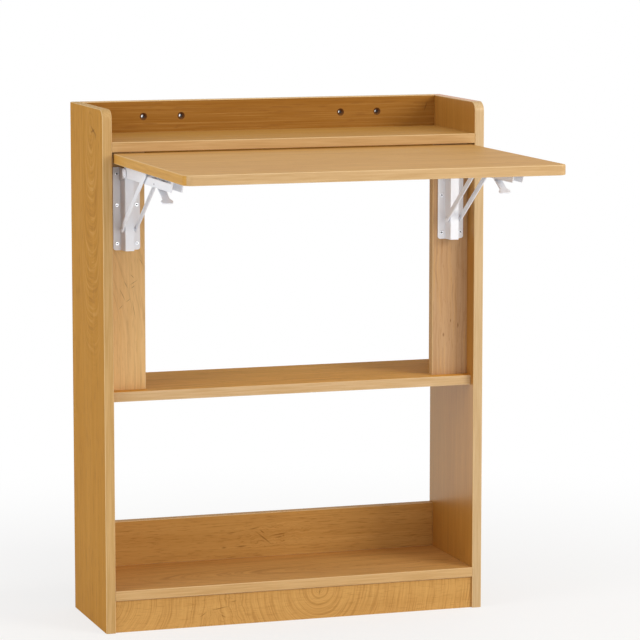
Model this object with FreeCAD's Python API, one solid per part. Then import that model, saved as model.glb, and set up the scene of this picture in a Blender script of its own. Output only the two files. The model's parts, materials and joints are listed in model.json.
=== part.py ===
"""Fold-down desk: a floor-standing open case whose desktop swings down on two locking brackets.

Millimetres.  The shapes are drawn from the plane of the side panels' front edges
(y = 0, +y towards the wall, z = 0 on the floor) and shifted on export, so that the
origin lies on the floor under the middle of the open desk.
"""
import FreeCAD, Part
import math
import os

# Case
case_width = 600.0
case_height = 786.0
case_depth = 195.0
board = 15.0
panel_corner_radius = 15.0
edge_bevel = 1.0
middle_shelf_height = 364.0
bottom_shelf_height = 64.0
middle_shelf_recess = 12.0
plinth_recess = 4.0
plinth_shadow_gap = 0.8
top_rail_height = 48.0
bottom_rail_height = 70.0
stile_width = 57.0
stile_recess = 30.0
cross_rail_height = 30.0

# Wall fixing holes in the top rail
wall_hole_radius = 2.75
wall_hole_sink_radius = 5.25
wall_hole_sink_depth = 2.5
wall_hole_pair_centre = 159.0
wall_hole_pitch = 60.0

# Flat-pack fittings inside the boards
cam_radius = 7.5
cam_height = 12.5
cam_inset = 24.0
cam_places = (75.0, 155.0)
bolt_radius = 3.0
bolt_in_side = 11.0
bolt_tip_gap = 0.3
dowel_radius = 4.0
dowel_length = 30.0
dowel_in_side = 8.0
fitting_clearance = 0.05
fitting_sides = 8
disc_sides = 10

# Desktop
desk_side_gap = 3.0
desk_depth = 388.0
desk_thickness = 15.0
desk_corner_radius = 13.0
desk_gap = 2.0
desk_overhang = 7.0

# Bracket wall plate, a hat-shaped pressing with two pivot ears
plate_width = 41.0
plate_height = 124.0
plate_top_drop = 7.0
plate_sheet = 2.0
plate_corner_radius = 4.0
hat_depth = 20.0
hat_face_width = 13.0
hat_foot_width = 18.8
hat_top_drop = 15.0
ear_sheet = 2.0
ear_gap = 0.7
ear_root = 20.0
plate_screw_spread = 30.4
plate_screw_drops = (10.0, 56.5, 114.0)
plate_screw_radius = 1.8
plate_screw_length = 14.0
plate_screw_head_radius = 2.9
plate_screw_head_height = 2.0

# Bracket arm, a channel under the desktop
pivot_drop = 14.0
pivot_standoff = 30.0
pivot_radius = 3.0
pivot_head_radius = 5.0
pivot_head_height = 1.4
arm_width = 17.0
arm_wall = 1.5
arm_web = 2.0
arm_height = 21.0
arm_length = 262.0
arm_nose_slant = 12.0
arm_end_radius = 7.0
arm_screw_places = (30.0, 100.0, 235.0)
arm_screw_radius = 2.0
arm_screw_head_radius = 4.0
arm_screw_length = 14.0

# Folding strut: two flat legs between the wall plate and the sliding pin
strut_pivot_drop = 85.0
strut_pivot_standoff = 15.0
strut_pivot_radius = 2.0
strut_pivot_head_radius = 3.2
strut_pivot_head_height = 1.2
strut_collar_length = 1.5
leg_sheet = 2.0
leg_width = 9.0
leg_gap = 1.3
strut_open_reach = 120.0
slot_drop = 6.0
slide_pin_radius = 2.5
slide_pin_clearance = 0.1
slide_pin_end_gap = 0.4
rivet_radius = 3.5
rivet_height = 1.2

# Release lever and its spring
lever_reach = 159.0
lever_drop = 16.4
lever_pin_radius = 1.5
lever_barrel_radius = 4.0
lever_barrel_length = 12.0
lever_sheet = 2.0
lever_length = 50.0
lever_angle = 29.0
lever_press = 20.0
lever_neck_width = 10.6
lever_tab_width = 17.6
lever_tab_length = 11.0
lever_tab_radius = 4.0
hook_length = 34.5
hook_nose_length = 4.5
hook_width = 9.0
hook_clearance = 0.9
spring_sheet = 0.6
spring_width = 10.0
spring_reach = 18.0
spring_bend_reach = 1.5
spring_barrel_gap = 0.5
spring_strap_gap = 0.4
stop_length = 5.0
stop_width = 3.0
stop_height = 1.5

running_clearance = 0.05

# Places worked out from the sizes above
inside = case_width / 2 - board
between_stiles = inside - stile_width
top_shelf_height = case_height - top_rail_height
desk_top = top_shelf_height - board - desk_gap
desk_under = desk_top - desk_thickness
desk_width = 2 * (inside - desk_side_gap)
plate_top = desk_under - plate_top_drop
plate_bottom = plate_top - plate_height
hat_face = stile_recess - hat_depth
bracket_centre = inside - stile_width / 2
pivot_y = stile_recess - pivot_standoff
pivot_z = desk_under - pivot_drop
desk_rear = pivot_y + desk_overhang
desk_front = desk_rear - desk_depth
strut_y = stile_recess - strut_pivot_standoff
strut_z = pivot_z - strut_pivot_drop
slot_z = desk_under - slot_drop
arm_under = desk_under - arm_height
lever_y = pivot_y - lever_reach
lever_z = desk_under - lever_drop
ear_inner = arm_width / 2 + ear_gap
leg_inner = arm_width / 2 + leg_gap

# The strut's length comes from the open desk.  Folded, the desk has turned a quarter turn
# about its pivot, the arm's slot stands upright and the sliding pin has run out along it.
strut_rise = slot_z - strut_z
strut_run = strut_y - (pivot_y - strut_open_reach)
strut_length = math.hypot(strut_rise, strut_run)
strut_angle = math.degrees(math.atan2(strut_rise, strut_run))
folded_run = strut_y - (pivot_y - (slot_z - pivot_z))
folded_drop = math.sqrt(strut_length ** 2 - folded_run ** 2)
strut_folded_reach = pivot_z - strut_z + folded_drop

y_shift = -(desk_front + case_depth) / 2

X_AXIS = FreeCAD.Vector(1, 0, 0)
Y_AXIS = FreeCAD.Vector(0, 1, 0)
Z_AXIS = FreeCAD.Vector(0, 0, 1)
SIDES = {"left": -1, "right": 1}


def box(x0, x1, y0, y1, z0, z1):
    return Part.makeBox(x1 - x0, y1 - y0, z1 - z0, FreeCAD.Vector(x0, y0, z0))


def rod(x, y, z, axis, radius, length):
    return Part.makeCylinder(radius, length, FreeCAD.Vector(x, y, z), axis)


def ring(radius, z, sides):
    """Corners of a regular polygon about the z axis."""
    turns = [2 * math.pi * step / sides for step in range(sides)]
    return [FreeCAD.Vector(radius * math.cos(t), radius * math.sin(t), z) for t in turns]


def flat_face(corners):
    return Part.Face(Part.makePolygon(corners + corners[:1]))


def placed(shape, x, y, z, axis):
    shape.Placement = FreeCAD.Placement(FreeCAD.Vector(x, y, z), FreeCAD.Rotation(Z_AXIS, axis))
    return shape


def peg(x, y, z, axis, radius, length, sides):
    """A round piece that repeats, or its hole, with few faces."""
    prism = flat_face(ring(radius, 0, sides)).extrude(Z_AXIS * length)
    return placed(prism, x, y, z, axis)


def tapered_peg(x, y, z, axis, start_radius, end_radius, length, sides):
    start = ring(start_radius, 0, sides)
    end = ring(end_radius, length, sides)
    flanks = [flat_face([start[i - 1], start[i], end[i], end[i - 1]]) for i in range(sides)]
    cone = Part.makeSolid(Part.makeShell(flanks + [flat_face(start), flat_face(end)]))
    return placed(cone, x, y, z, axis)


def cross_rod(y, z, radius, length):
    """A round bar across the bracket, centred on it."""
    return rod(-length / 2, y, z, X_AXIS, radius, length)


def seat_hole(y, z, pin_radius, length):
    """Hole across the bracket for a pin that is fixed in it, with few faces."""
    radius = (pin_radius + running_clearance) / math.cos(math.pi / disc_sides)
    return peg(-length / 2, y, z, X_AXIS, radius, length, disc_sides)


def side_face(points, x):
    """A flat face across the bracket at x, from (y, z) corners."""
    return flat_face([FreeCAD.Vector(x, y, z) for y, z in points])


def side_plate(points, width):
    """A plate across the bracket, centred on it, cut to the (y, z) outline."""
    return side_face(points, -width / 2).extrude(X_AXIS * width)


def mirrored(shape):
    return shape.mirror(FreeCAD.Vector(0, 0, 0), X_AXIS)


def both_sides(shape):
    return shape.fuse(mirrored(shape))


def at_bracket(shape, side):
    moved = shape.copy()
    moved.translate(FreeCAD.Vector(SIDES[side] * bracket_centre, 0, 0))
    return moved


def picked_edges(shape, picks):
    """The edges that the test picks by their middle point and direction."""
    chosen = []
    for edge in shape.Edges:
        middle = edge.valueAt((edge.FirstParameter + edge.LastParameter) / 2)
        run = edge.Vertexes[-1].Point - edge.Vertexes[0].Point
        if picks(middle, run):
            chosen.append(edge)
    return chosen


def rounded(shape, radius, picks):
    return shape.makeFillet(radius, picked_edges(shape, picks))


def eased(shape, picks):
    """Take the sharp corner off a board's edges."""
    return shape.makeChamfer(edge_bevel, picked_edges(shape, picks))


def near(value, target):
    return abs(value - target) < 1e-6


def group(shapes):
    return Part.makeCompound(shapes)


def export(name, shape):
    moved = shape.copy()
    moved.translate(FreeCAD.Vector(0, y_shift, 0))
    moved.exportStep("parts/" + name + ".step")


# Case fittings, and the holes that they sit in

def cam_positions():
    """Side, depth and underside of each cam: two at each end of every shelf."""
    heights = (top_shelf_height, middle_shelf_height, bottom_shelf_height)
    return [(side, y, height - board)
            for height in heights for side in (-1, 1) for y in cam_places]


def cams(clearance=0.0):
    """Discs let into the undersides of the shelves."""
    return [peg(side * (inside - cam_inset), y, under - clearance, Z_AXIS,
                cam_radius + clearance, cam_height + 2 * clearance, disc_sides)
            for side, y, under in cam_positions()]


def bolts(clearance=0.0):
    """Bolts that stand out of the side panels and end at the cams."""
    length = bolt_in_side + cam_inset - cam_radius - bolt_tip_gap
    return [peg(side * (inside + bolt_in_side + clearance), y, under + board / 2, X_AXIS * -side,
                bolt_radius + clearance, length + 2 * clearance, fitting_sides)
            for side, y, under in cam_positions()]


def dowels(clearance=0.0):
    """Dowels between the side panels and the rails, and between the stiles and what they meet."""
    rail_y = case_depth - board / 2
    stile_y = stile_recess + board / 2
    radius = dowel_radius + clearance
    length = dowel_length + 2 * clearance
    entry = dowel_in_side + clearance
    level_places = (
        (inside, rail_y, top_shelf_height + top_rail_height / 2),
        (inside, rail_y, bottom_shelf_height + bottom_rail_height / 2),
        (inside, plinth_recess + board / 2, plinth_top() / 2),
        (between_stiles, stile_y, top_shelf_height - board - cross_rail_height / 2),
    )
    upright_places = ((top_shelf_height - board, 1), (middle_shelf_height, -1))
    pegs = []
    for side in (-1, 1):
        for end, y, z in level_places:
            pegs.append(peg(side * (end + entry), y, z, X_AXIS * -side,
                            radius, length, fitting_sides))
        for face, into_shelf in upright_places:
            pegs.append(peg(side * bracket_centre, stile_y, face + into_shelf * entry,
                            Z_AXIS * -into_shelf, radius, length, fitting_sides))
    return pegs


def plinth_top():
    return bottom_shelf_height - board - plinth_shadow_gap


def fitting_holes():
    return group(cams(fitting_clearance) + bolts(fitting_clearance) + dowels(fitting_clearance))


def drilled(blank, holes):
    """Cut only the holes that reach into the board."""
    meeting = [hole for hole in holes.Solids if hole.BoundBox.intersect(blank.BoundBox)]
    return blank.cut(meeting) if meeting else blank


# Case boards

def side_panel(side, holes):
    """Upright panel with a rounded top front corner."""
    r = panel_corner_radius
    x = side * inside
    corner = FreeCAD.Vector(x, r - r * math.sqrt(0.5), case_height - r + r * math.sqrt(0.5))
    foot_front = FreeCAD.Vector(x, 0, 0)
    round_start = FreeCAD.Vector(x, 0, case_height - r)
    round_end = FreeCAD.Vector(x, r, case_height)
    top_rear = FreeCAD.Vector(x, case_depth, case_height)
    foot_rear = FreeCAD.Vector(x, case_depth, 0)
    outline = Part.Wire([
        Part.LineSegment(foot_front, round_start).toShape(),
        Part.Arc(round_start, corner, round_end).toShape(),
        Part.LineSegment(round_end, top_rear).toShape(),
        Part.LineSegment(top_rear, foot_rear).toShape(),
        Part.LineSegment(foot_rear, foot_front).toShape(),
    ])
    blank = Part.Face(outline).extrude(X_AXIS * side * board)
    blank = eased(blank, lambda p, run: near(run.x, 0) and p.z > 0 and p.y < case_depth)
    return drilled(blank, holes)


def shelf(front, height, holes):
    blank = box(-inside, inside, front, case_depth, height - board, height)
    blank = eased(blank, lambda p, run: near(p.y, front) and near(run.z, 0))
    return drilled(blank, holes)


def rail(bottom, height, holes):
    """Board on edge along the back of a shelf."""
    front = case_depth - board
    blank = box(-inside, inside, front, case_depth, bottom, bottom + height)
    blank = eased(blank, lambda p, run: near(p.y, front) and near(p.z, bottom + height))
    return drilled(blank, holes)


def top_rail(holes):
    blank = rail(top_shelf_height, top_rail_height, holes)
    front = case_depth - board
    z = top_shelf_height + top_rail_height / 2
    for side in (-1, 1):
        for step in (-0.5, 0.5):
            x = side * wall_hole_pair_centre + step * wall_hole_pitch
            bore = rod(x, front, z, Y_AXIS, wall_hole_radius, board)
            sink = Part.makeCone(wall_hole_sink_radius, wall_hole_radius, wall_hole_sink_depth,
                                 FreeCAD.Vector(x, front, z), Y_AXIS)
            blank = blank.cut(bore.fuse(sink))
    return blank


def plinth(holes):
    blank = box(-inside, inside, plinth_recess, plinth_recess + board, 0, plinth_top())
    return drilled(blank, holes)


def cross_rail(holes):
    """Board on edge between the stiles, under the top shelf."""
    top = top_shelf_height - board
    blank = box(-between_stiles, between_stiles, stile_recess, stile_recess + board,
                top - cross_rail_height, top)
    return drilled(blank, holes)


def stile(side, holes):
    """Upright strip beside the panel that carries a bracket."""
    centre = side * bracket_centre
    top = top_shelf_height - board
    blank = box(centre - stile_width / 2, centre + stile_width / 2,
                stile_recess, stile_recess + board, middle_shelf_height, top)
    inner = centre - side * stile_width / 2
    blank = eased(blank, lambda p, run: near(p.x, inner) and near(p.y, stile_recess))
    screws = at_bracket(group(plate_screws(running_clearance)), "left" if side < 0 else "right")
    return drilled(drilled(blank, holes), screws)


# Desktop

def desktop():
    half = desk_width / 2
    blank = box(-half, half, desk_front, desk_rear, desk_under, desk_top)
    blank = rounded(blank, desk_corner_radius,
                    lambda p, run: near(p.y, desk_front) and abs(run.z) > 0)
    blank = eased(blank, lambda p, run: near(run.z, 0))
    for side in SIDES:
        blank = drilled(blank, at_bracket(group(arm_screws(running_clearance)), side))
    return blank


# Bracket wall plate

def hat_half_width(y):
    """Half the width of the hat's outer flank at depth y."""
    flange_face = stile_recess - plate_sheet
    share = (y - hat_face) / (flange_face - hat_face)
    return (hat_face_width + share * (hat_foot_width - hat_face_width)) / 2


def wall_plate():
    back = stile_recess
    flange_face = back - plate_sheet
    flank_slope = hat_half_width(flange_face) - hat_half_width(hat_face)
    flank_slope = flank_slope / (flange_face - hat_face)
    flank_sheet = plate_sheet * math.hypot(1, flank_slope)
    inner_face = hat_face + plate_sheet
    half_outline = [
        (plate_width / 2, back),
        (plate_width / 2, flange_face),
        (hat_half_width(flange_face), flange_face),
        (hat_half_width(hat_face), hat_face),
    ]
    inner_half = [
        (hat_half_width(inner_face) - flank_sheet, inner_face),
        (hat_half_width(back) - flank_sheet, back),
    ]
    outer = half_outline + [(-x, y) for x, y in reversed(half_outline)]
    inner = [(-x, y) for x, y in reversed(inner_half)] + inner_half
    section = flat_face([FreeCAD.Vector(x, y, plate_bottom) for x, y in outer + inner])
    plate = section.extrude(Z_AXIS * plate_height)
    plate = rounded(plate, plate_corner_radius,
                    lambda p, run: near(abs(p.x), plate_width / 2) and abs(run.y) > 0
                    and near(p.z, plate_bottom))
    notch = box(-ear_inner, ear_inner, hat_face, back, plate_top - hat_top_drop, plate_top)
    plate = plate.cut(notch).fuse(both_sides(ear())).removeSplitter()
    holes = plate_screws(running_clearance)
    holes.append(seat_hole(pivot_y, pivot_z, pivot_radius, plate_width))
    holes.append(seat_hole(strut_y, strut_z, strut_pivot_radius, plate_width))
    return plate.cut(holes)


def ear():
    """Pivot ear bent forward from the hat's flank, rounded about the arm's pivot."""
    root = stile_recess - plate_sheet
    r = plate_top - pivot_z
    top_rear = FreeCAD.Vector(ear_inner, root, plate_top)
    top_front = FreeCAD.Vector(ear_inner, pivot_y, plate_top)
    nose = FreeCAD.Vector(ear_inner, pivot_y - r, pivot_z)
    under_front = FreeCAD.Vector(ear_inner, pivot_y, pivot_z - r)
    under_rear = FreeCAD.Vector(ear_inner, root, plate_top - ear_root)
    outline = Part.Wire([
        Part.LineSegment(top_rear, top_front).toShape(),
        Part.Arc(top_front, nose, under_front).toShape(),
        Part.LineSegment(under_front, under_rear).toShape(),
        Part.LineSegment(under_rear, top_rear).toShape(),
    ])
    return Part.Face(outline).extrude(X_AXIS * ear_sheet)


def plate_screws(clearance=0.0):
    """Pan-head wood screws through the plate's flanges into the stile."""
    face = stile_recess - plate_sheet
    screws = []
    for drop in plate_screw_drops:
        for side in (-1, 1):
            x = side * plate_screw_spread / 2
            z = plate_top - drop
            shank = peg(x, face, z, Y_AXIS, plate_screw_radius + clearance,
                        plate_screw_length + clearance, fitting_sides)
            if clearance:
                screws.append(shank)
                continue
            head = peg(x, face, z, -Y_AXIS, plate_screw_head_radius, plate_screw_head_height,
                       disc_sides)
            screws.append(shank.fuse(head))
    return screws


# Bracket arm

def arm_outline():
    """Side wall of the channel: rounded about the pivot at the rear, slanted at the nose."""
    r = arm_end_radius
    rear_top = FreeCAD.Vector(0, pivot_y + r, desk_under)
    rear_mid = FreeCAD.Vector(0, pivot_y + r, pivot_z)
    bend = FreeCAD.Vector(0, pivot_y + r * math.sqrt(0.5), pivot_z - r * math.sqrt(0.5))
    under_rear = FreeCAD.Vector(0, pivot_y, pivot_z - r)
    under_start = FreeCAD.Vector(0, pivot_y - r, arm_under)
    under_nose = FreeCAD.Vector(0, pivot_y - arm_length + arm_nose_slant, arm_under)
    top_nose = FreeCAD.Vector(0, pivot_y - arm_length, desk_under)
    edges = [
        Part.LineSegment(rear_top, rear_mid).toShape(),
        Part.Arc(rear_mid, bend, under_rear).toShape(),
    ]
    last = under_rear
    for point in (under_start, under_nose, top_nose, rear_top):
        edges.append(Part.LineSegment(last, point).toShape())
        last = point
    return Part.Face(Part.Wire(edges))


def slide_slot():
    """Long hole through both walls for the sliding pin."""
    radius = slide_pin_radius + slide_pin_clearance
    start = pivot_y - strut_open_reach
    end = pivot_y - strut_folded_reach
    middle = box(-arm_width / 2, arm_width / 2, end, start, slot_z - radius, slot_z + radius)
    ends = [cross_rod(y, slot_z, radius, arm_width) for y in (start, end)]
    return middle.fuse(ends)


def spring_stop():
    """Lug lanced inwards from a wall, over the spring's upper leaf."""
    inner = arm_width / 2 - arm_wall
    front = lever_y - spring_reach
    bottom = lever_z + spring_upper_face()
    return box(inner - stop_width, inner, front, front + stop_length, bottom, bottom + stop_height)


def arm():
    blank = arm_outline().extrude(X_AXIS * arm_width)
    blank.translate(FreeCAD.Vector(-arm_width / 2, 0, 0))
    inner = arm_width / 2 - arm_wall
    hollow = box(-inner, inner, pivot_y - arm_length, pivot_y + arm_end_radius,
                 arm_under, desk_under - arm_web)
    channel = blank.cut(hollow).fuse(both_sides(spring_stop()))
    bores = [
        cross_rod(pivot_y, pivot_z, pivot_radius + running_clearance, arm_width),
        seat_hole(lever_y, lever_z, lever_pin_radius, arm_width),
        slide_slot(),
    ]
    return channel.cut(bores + arm_screws(running_clearance))


def arm_screws(clearance=0.0):
    """Countersunk screws, flush in the web so that the sliding pin passes under them."""
    web_face = desk_under - arm_web
    radius = arm_screw_radius + clearance
    screws = []
    for reach in arm_screw_places:
        y = pivot_y - reach
        head = tapered_peg(0, y, web_face, Z_AXIS, arm_screw_head_radius + clearance, radius,
                           arm_web, fitting_sides)
        shank = peg(0, y, desk_under, Z_AXIS, radius, arm_screw_length - arm_web + clearance,
                    fitting_sides)
        screws.append(head.fuse(shank).removeSplitter())
    return screws


def headed_pin(y, z, radius, reach, head_radius, head_height):
    """Cross pin whose heads lie outside the sheet that it passes through."""
    pin = cross_rod(y, z, radius, 2 * reach)
    head = peg(reach, y, z, X_AXIS, head_radius, head_height, disc_sides)
    return pin.fuse(both_sides(head)).removeSplitter()


def arm_pivot_pin():
    return headed_pin(pivot_y, pivot_z, pivot_radius, ear_inner + ear_sheet,
                      pivot_head_radius, pivot_head_height)


def strut_pivot_pin():
    """Pin whose collars keep the legs off the hat's flanks."""
    reach = leg_inner + leg_sheet + running_clearance
    pin = headed_pin(strut_y, strut_z, strut_pivot_radius, reach,
                     strut_pivot_head_radius, strut_pivot_head_height)
    collar = peg(leg_inner - running_clearance - strut_collar_length, strut_y, strut_z, X_AXIS,
                 strut_pivot_head_radius, strut_collar_length, disc_sides)
    return pin.fuse(both_sides(collar)).removeSplitter()


# Strut

def strut_leg():
    """Flat strip with round ends, drawn level to the front and then raised to its angle."""
    half = leg_width / 2
    strip = box(leg_inner, leg_inner + leg_sheet, strut_y - strut_length, strut_y,
                strut_z - half, strut_z + half)
    for y in (strut_y, strut_y - strut_length):
        strip = strip.fuse(rod(leg_inner, y, strut_z, X_AXIS, half, leg_sheet))
    bore = rod(leg_inner, strut_y, strut_z, X_AXIS,
               strut_pivot_radius + running_clearance, leg_sheet)
    leg = strip.cut(bore).removeSplitter()
    leg.rotate(FreeCAD.Vector(0, strut_y, strut_z), X_AXIS, -strut_angle)
    return leg


def strut_rivets():
    """Rivet heads on the legs' outer faces, at the sliding pin."""
    head = peg(leg_inner + leg_sheet, pivot_y - strut_open_reach, slot_z, X_AXIS,
               rivet_radius, rivet_height, disc_sides)
    return group([mirrored(head), head])


def slide_pin():
    reach = leg_inner - slide_pin_end_gap
    return cross_rod(pivot_y - strut_open_reach, slot_z, slide_pin_radius, 2 * reach)


# Release lever.  Its profile is drawn about its pin, forward along -y and up along z.

def lever_point(forward, up):
    return (lever_y - forward, lever_z + up)


def lever_strap():
    """Thumb strap in its own plane: a neck that flares into a rounded tab."""
    neck = lever_neck_width / 2
    tab = lever_tab_width / 2
    root = lever_barrel_length / 2
    flare = lever_length - lever_tab_length
    corners = [
        (-root, 0), (-root, 2 * lever_barrel_radius), (-neck, flare - lever_tab_length),
        (-neck, flare), (-tab, flare + lever_tab_length / 2), (-tab, lever_length),
    ]
    corners = corners + [(-x, y) for x, y in reversed(corners)]
    points = [FreeCAD.Vector(x, lever_y - y, lever_z - lever_sheet / 2) for x, y in corners]
    strap = flat_face(points).extrude(Z_AXIS * lever_sheet)
    strap = rounded(strap, lever_tab_radius,
                    lambda p, run: near(p.y, lever_y - lever_length) and abs(run.z) > 0)
    strap.rotate(FreeCAD.Vector(0, lever_y, lever_z), X_AXIS, lever_angle)
    return strap


def lever_hook():
    """Tail whose nose stands just in front of the locked sliding pin, under its path."""
    nose = slot_z - slide_pin_radius - hook_clearance - lever_z
    half = lever_sheet / 2
    profile = [
        lever_point(0, half), lever_point(hook_nose_length - hook_length, 2 * lever_sheet),
        lever_point(hook_nose_length - hook_length, nose), lever_point(-hook_length, nose),
        lever_point(-hook_length, half), lever_point(0, -lever_barrel_radius / 2),
    ]
    return side_plate(profile, hook_width)


def lever():
    barrel = cross_rod(lever_y, lever_z, lever_barrel_radius, lever_barrel_length)
    solid = barrel.fuse([lever_strap(), lever_hook()]).removeSplitter()
    return solid.cut(cross_rod(lever_y, lever_z, lever_pin_radius + running_clearance,
                               lever_barrel_length))


def lever_pin():
    return cross_rod(lever_y, lever_z, lever_pin_radius, arm_width)


def spring_upper_face():
    """Height of the spring's upper leaf over the lever's pin."""
    return lever_barrel_radius + spring_barrel_gap + spring_sheet


def lever_spring():
    """Folded leaf, drawn pressed: one leaf under the stops, the other on the raised strap."""
    top = spring_upper_face()
    pressed = math.radians(lever_angle - lever_press)
    strap_face = lever_sheet / 2 / math.cos(pressed) - spring_reach * math.tan(pressed)
    low = strap_face + spring_strap_gap
    slope = (low - (top - spring_sheet)) / (spring_reach - spring_bend_reach)
    thick = spring_sheet * math.hypot(1, slope)
    crotch = spring_bend_reach + thick / -slope
    profile = [
        lever_point(spring_bend_reach, top), lever_point(spring_reach, top),
        lever_point(spring_reach, top - spring_sheet), lever_point(crotch, top - spring_sheet),
        lever_point(spring_reach, low + thick), lever_point(spring_reach, low),
        lever_point(spring_bend_reach, top - spring_sheet),
    ]
    return side_plate(profile, spring_width)


def build():
    os.makedirs("parts", exist_ok=True)
    holes = fitting_holes()
    export("left_side_panel", side_panel(-1, holes))
    export("right_side_panel", side_panel(1, holes))
    export("top_shelf", shelf(0, top_shelf_height, holes))
    export("middle_shelf", shelf(middle_shelf_recess, middle_shelf_height, holes))
    export("bottom_shelf", shelf(0, bottom_shelf_height, holes))
    export("top_wall_rail", top_rail(holes))
    export("bottom_back_rail", rail(bottom_shelf_height, bottom_rail_height, holes))
    export("plinth_board", plinth(holes))
    export("cross_rail", cross_rail(holes))
    export("left_stile", stile(-1, holes))
    export("right_stile", stile(1, holes))
    export("cam_housings", group(cams()))
    export("cam_bolts", group(bolts()))
    export("wood_dowels", group(dowels()))
    export("desktop", desktop())
    bracket_pieces = {
        "wall_plate": wall_plate(),
        "wall_plate_screws": group(plate_screws()),
        "arm": arm(),
        "arm_screws": group(arm_screws()),
        "arm_pivot_pin": arm_pivot_pin(),
        "strut_pivot_pin": strut_pivot_pin(),
        "strut_right_leg": strut_leg(),
        "strut_left_leg": mirrored(strut_leg()),
        "strut_rivets": strut_rivets(),
        "slide_pin": slide_pin(),
        "release_lever": lever(),
        "lever_pin": lever_pin(),
        "lever_spring": lever_spring(),
    }
    for side in SIDES:
        for name, shape in bracket_pieces.items():
            export(side + "_" + name, at_bracket(shape, side))


build()
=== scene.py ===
"""Looks of the fold-down desk: board finishes, bracket finishes, turned fasteners, studio and camera.

Metres, in the frame of the solids.  Each board and pressing is a finished copy of its solid, with
softened edges; screws, cams, pins and rivets are grown by node trees at the places of their solids.
"""

import json
import math

import bmesh
import bpy
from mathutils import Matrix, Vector


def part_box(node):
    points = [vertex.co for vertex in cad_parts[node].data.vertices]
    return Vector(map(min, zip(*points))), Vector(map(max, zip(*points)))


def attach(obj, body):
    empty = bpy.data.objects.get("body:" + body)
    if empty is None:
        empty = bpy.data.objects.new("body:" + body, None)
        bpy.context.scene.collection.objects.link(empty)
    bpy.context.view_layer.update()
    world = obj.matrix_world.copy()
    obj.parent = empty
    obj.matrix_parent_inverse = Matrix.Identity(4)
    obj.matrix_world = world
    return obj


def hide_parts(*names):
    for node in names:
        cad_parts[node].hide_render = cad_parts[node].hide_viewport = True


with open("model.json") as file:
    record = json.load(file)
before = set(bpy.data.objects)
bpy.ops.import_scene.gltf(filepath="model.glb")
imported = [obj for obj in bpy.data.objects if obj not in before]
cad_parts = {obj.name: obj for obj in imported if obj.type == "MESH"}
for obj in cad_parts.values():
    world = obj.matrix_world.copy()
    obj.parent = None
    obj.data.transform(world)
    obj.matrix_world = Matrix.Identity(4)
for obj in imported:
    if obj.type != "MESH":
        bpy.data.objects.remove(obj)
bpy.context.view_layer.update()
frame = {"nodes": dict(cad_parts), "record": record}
scene = bpy.context.scene
mm = 0.001
quarter = math.pi / 2

# Camera, fitted to the edges of the case and the desktop; its turn and tilt are in degrees
camera_place = (-1.488, -4.577, 1.115)
camera_turn = 18.08
camera_tilt = 7.58
camera_lens = 184.4
camera_reach = 200.0

# Studio: the floor is pale grey near the desk and runs out to white
floor_radius = 40.0
floor_sides = 96
floor_near = 0.45
floor_far = 1.5
floor_near_white = 0.7
sky_light = 0.42
lamp_aim = (0.0, 0.1, 0.45)

# Copies of the solids
join_within = 0.002 * mm
flat_within = math.radians(0.5)
smooth_below = math.radians(34)
board_edge = 0.5 * mm
sheet_edge = 0.35 * mm
spring_edge = 0.1 * mm
edge_steps = 2

# Turned pins and rivets; a rivet's wall and tip are shares of its height and radius
turned_sides = 32
step = 0.01 * mm
pin_chamfer = 0.3 * mm
pivot_pin_radius = 3.0 * mm
pivot_head_height = 1.4 * mm
strut_pin_radius = 2.0 * mm
strut_head_height = 1.2 * mm
strut_collar = (3.3 * mm, 4.8 * mm)
rivet_wall = 0.3
rivet_tip = 0.05
rivet_steps = 5

# Cross-headed fasteners, in millimetres
PLATE_SCREW = {"Rim Radius": 2.9, "Crown Radius": 2.2, "Head Height": 2.0, "Shank Radius": 1.8,
               "Shank Length": 14.0, "Recess Span": 3.2, "Recess Width": 1.35, "Recess Depth": 1.8}
ARM_SCREW = {"Rim Radius": 2.0, "Crown Radius": 4.0, "Head Height": 2.0, "Shank Radius": 2.0,
             "Shank Length": 12.0, "Recess Span": 4.4, "Recess Width": 1.1, "Recess Depth": 1.5}
CAM = {"Rim Radius": 7.5, "Crown Radius": 7.3, "Head Height": 6.0, "Shank Radius": 7.0,
       "Shank Length": 6.5, "Recess Span": 9.0, "Recess Width": 1.8, "Recess Depth": 3.0}

# Where a fastener's head points, and the turn that takes z there
FORWARDS = ((0, -1, 0), (quarter, 0.0, 0.0))
DOWNWARDS = ((0, 0, -1), (math.pi, 0.0, 0.0))

# How a board lies: the turn that takes x to its grain, y across it and z through its thickness
LYING = (0.0, 0.0, 0.0)
STANDING = (quarter, 0.0, 0.0)
UPRIGHT_SIDE = (0.0, -quarter, 0.0)
UPRIGHT_FRONT = (-quarter, -quarter, 0.0)

# Oak print: real sizes of its figure, in millimetres along and across the grain.  Flecks and fibres
# of the print are under half a millimetre wide and are drawn wider, so that they show from a step away.
streak_size = (420.0, 20.0)
fibre_size = (110.0, 2.6)
fine_flecks = (16.0, 1.7, 0.3)
fade_size = (150.0, 60.0)
wobble_size = 55.0
burl_grain = 15.0
burl_reach = 13.0
band_grain = (60.0, 2.2)

# Oak print: the size through a board of what goes right through it, in metres
endless = 1000.0

# Oak print: the values of its noises where each part starts to show and where it shows fully
streak_span = (0.3, 0.7)
fibre_span = (0.35, 0.75)
fleck_span = (0.54, 0.7)
early_wood_span = (0.47, 0.35)
late_wood_span = (0.51, 0.64)

# Oak print: over how many rings two hearts run together
heart_blend = 3.0

# Oak print: shares of an oval's half size between which a swirl, a patch of rings or a crack fades
burl_core = 0.3
patch_fade = (0.4, 1.1)
crack_fade = (0.2, 1.0)
crack_share = 0.6

# Boards: how far a surface is turned to the thickness where the face starts and where the pale
# corner of the painted highlight starts and ends, and how far it is turned to the grain at an end
face_span = (0.75, 0.9)
corner_start = (0.3, 0.55)
corner_end = (0.82, 0.95)
end_facing = 0.7
# How strongly the painted highlight shows on the eased corners
painted_edge_highlight_share = 0.7

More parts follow.
